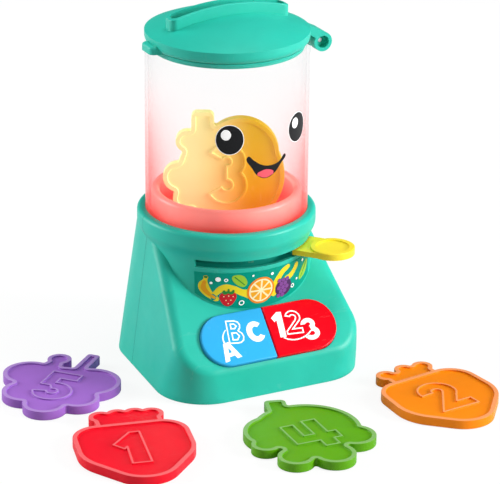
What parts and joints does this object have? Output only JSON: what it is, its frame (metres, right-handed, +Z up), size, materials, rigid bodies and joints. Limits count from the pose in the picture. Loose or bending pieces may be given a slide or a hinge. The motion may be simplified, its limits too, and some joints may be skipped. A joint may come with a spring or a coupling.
{
  "type": "toy blender",
  "caption": "Child's toy blender with a clear jar, hinged slotted lid, sweep lever that turns a lit bowl, two sprung buttons and flat numbered fruit pieces that drop through the lid.",
  "frame": {"origin": "on the table, under the jar's axis", "axes": "+X to the object's right seen from its front, +Y to the rear, away from the buttons, +Z up"},
  "size_m": [0.3156, 0.2743, 0.2622],
  "materials": {
    "teal_plastic": "smooth moulded teal, satin gloss",
    "clear_plastic": "clear moulded jar with a warm tint rising from the bottom",
    "bowl_plastic": "translucent warm red, lit from below",
    "yellow_plastic": "smooth moulded yellow",
    "blue_plastic": "smooth moulded blue with a white print",
    "red_plastic": "smooth moulded red with a white print",
    "purple_plastic": "smooth moulded purple",
    "berry_plastic": "smooth moulded red",
    "green_plastic": "smooth moulded green",
    "orange_plastic": "smooth moulded orange",
    "amber_plastic": "smooth moulded amber",
    "label_film": "printed film",
    "inner_plastic": "plain grey moulding",
    "circuit_board": "green board lacquer",
    "black_plastic": "black moulding",
    "cell_wrap": "plain wrapped cell",
    "steel": "plated steel",
    "lamp_plastic": "frosted lamp"
  },
  "bodies": {
    "base": {"base_screws": "steel", "battery_1": "cell_wrap", "battery_2": "cell_wrap", "battery_3": "cell_wrap", "battery_door": "teal_plastic", "blue_spring": "steel", "blue_switch": "black_plastic", "board_screws": "steel", "bottom_cover": "teal_plastic", "button_board": "circuit_board", "button_frame": "inner_plastic", "button_screws": "steel", "capacitor": "black_plastic", "connectors": "inner_plastic", "contact_plates": "steel", "contact_springs": "steel", "door_screw": "steel", "frame_screws": "steel", "front_housing": "teal_plastic", "front_label": "label_film", "hinge_pin": "steel", "inner_frame": "inner_plastic", "jar": "clear_plastic", "lamp_board": "circuit_board", "lamps": "lamp_plastic", "main_board": "circuit_board", "rear_housing": "teal_plastic", "red_spring": "steel", "red_switch": "black_plastic", "shell_screws": "steel", "sound_chip": "black_plastic", "speaker_basket": "steel", "speaker_cone": "black_plastic", "speaker_magnet": "steel", "spindle_screw": "steel", "spindle_washer": "steel", "switch_case": "black_plastic"},
    "lid": {"lid": "teal_plastic"},
    "mixer": {"lever": "yellow_plastic", "lit_bowl": "bowl_plastic", "bowl_screws": "steel"},
    "blue_button": {"blue_button": "blue_plastic"},
    "red_button": {"red_button": "red_plastic"},
    "switch_knob": {"switch_knob": "black_plastic"},
    "piece_three": {"piece_three": "amber_plastic"},
    "piece_one": {"piece_one": "berry_plastic"},
    "piece_two": {"piece_two": "orange_plastic"},
    "piece_four": {"piece_four": "green_plastic"},
    "piece_five": {"piece_five": "purple_plastic"}
  },
  "joints": [
    {"name": "lid_hinge", "type": "hinge", "parent": "base", "child": "lid", "pos_m": [0.07, 0, 0.2265], "axis": [0, 1, 0], "range_deg": [0, 110]},
    {"name": "mixer_turn", "type": "hinge", "parent": "base", "child": "mixer", "pos_m": [0, 0, 0.0873], "axis": [0, 0, 1], "range_deg": [-75, 0]},
    {"name": "blue_press", "type": "slide", "parent": "base", "child": "blue_button", "axis": [0, 0.7071, -0.7071], "range_m": [0, 0.0022], "stiffness_N_per_m": 250, "springref_m": -0.001, "deforming": ["blue_spring"]},
    {"name": "red_press", "type": "slide", "parent": "base", "child": "red_button", "axis": [0, 0.7071, -0.7071], "range_m": [0, 0.0022], "stiffness_N_per_m": 250, "springref_m": -0.001, "deforming": ["red_spring"]},
    {"name": "switch_slide", "type": "slide", "parent": "base", "child": "switch_knob", "axis": [1, 0, 0], "range_m": [-0.004, 0.004]},
    {"name": "piece_three_lift", "type": "slide", "parent": "mixer", "child": "piece_three", "axis": [0, 0, 1], "range_m": [0, 0.05]},
    {"name": "piece_one_lift", "type": "slide", "parent": "base", "child": "piece_one", "axis": [0, 0, 1], "range_m": [0, 0.06]},
    {"name": "piece_two_lift", "type": "slide", "parent": "base", "child": "piece_two", "axis": [0, 0, 1], "range_m": [0, 0.06]},
    {"name": "piece_four_lift", "type": "slide", "parent": "base", "child": "piece_four", "axis": [0, 0, 1], "range_m": [0, 0.06]},
    {"name": "piece_five_lift", "type": "slide", "parent": "base", "child": "piece_five", "axis": [0, 0, 1], "range_m": [0, 0.06]}
  ]
}
